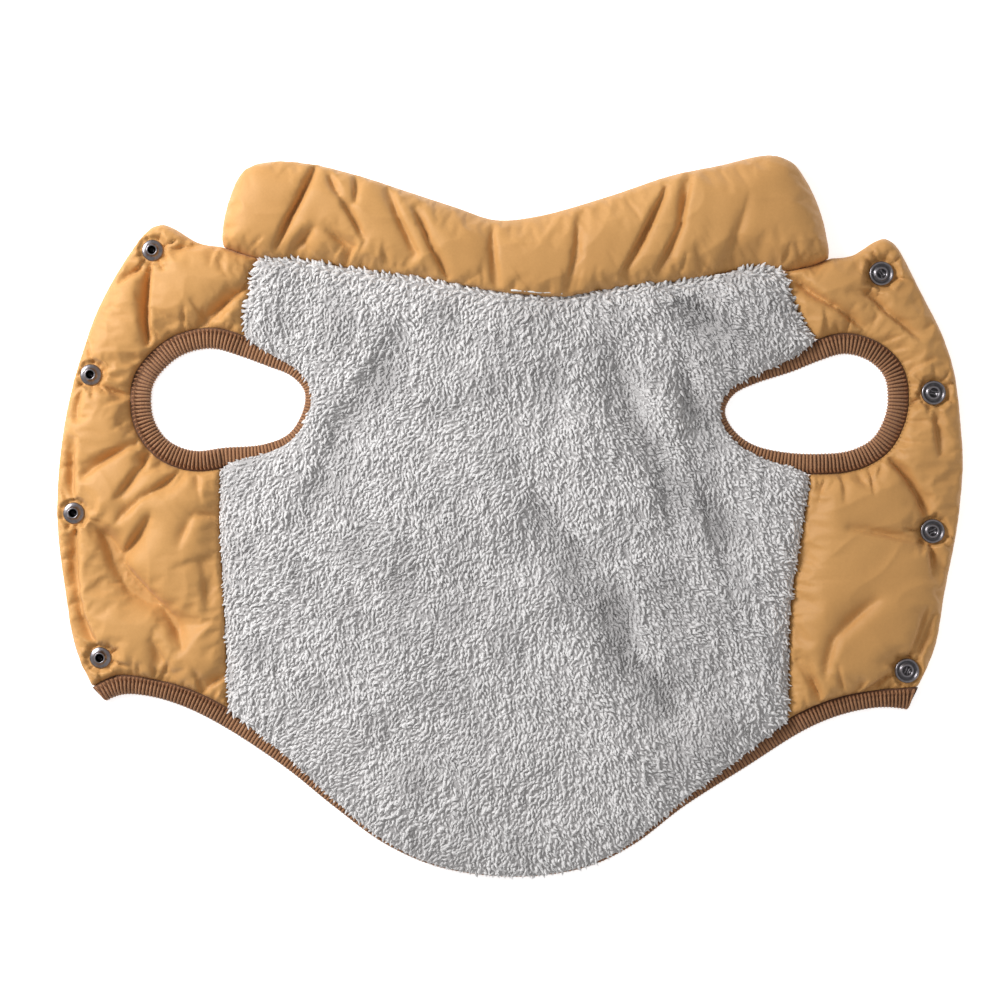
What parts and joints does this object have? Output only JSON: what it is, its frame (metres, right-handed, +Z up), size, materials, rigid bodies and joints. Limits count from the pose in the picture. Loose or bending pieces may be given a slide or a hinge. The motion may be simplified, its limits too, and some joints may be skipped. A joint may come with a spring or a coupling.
{
  "type": "dog winter coat",
  "caption": "Padded winter coat for a small dog, laid open with its fleece lining up, with leg holes, snap fronts and ribbed knit bindings.",
  "frame": {"origin": "on the surface the coat lies on, under the middle of its outline", "axes": "+X across the coat towards the socket side, +Y from the tail towards the collar, +Z up"},
  "size_m": [0.4262, 0.3404, 0.014],
  "materials": {
    "nylon": "woven nylon with a soft sheen",
    "fleece": "deep curly pile",
    "knit": "ribbed knit",
    "label_tape": "plain woven tape",
    "snap_metal": "dark gunmetal plating"
  },
  "bodies": {
    "root": {"back_shell": "nylon", "back_lining": "fleece", "front_left": "nylon", "front_right": "nylon", "collar": "nylon", "neck_label": "label_tape", "armhole_band_left": "knit", "armhole_band_right": "knit", "hem_band": "knit", "stud_1": "snap_metal", "socket_1": "snap_metal", "stud_2": "snap_metal", "socket_2": "snap_metal", "stud_3": "snap_metal", "socket_3": "snap_metal", "stud_4": "snap_metal", "socket_4": "snap_metal"}
  },
  "joints": []
}
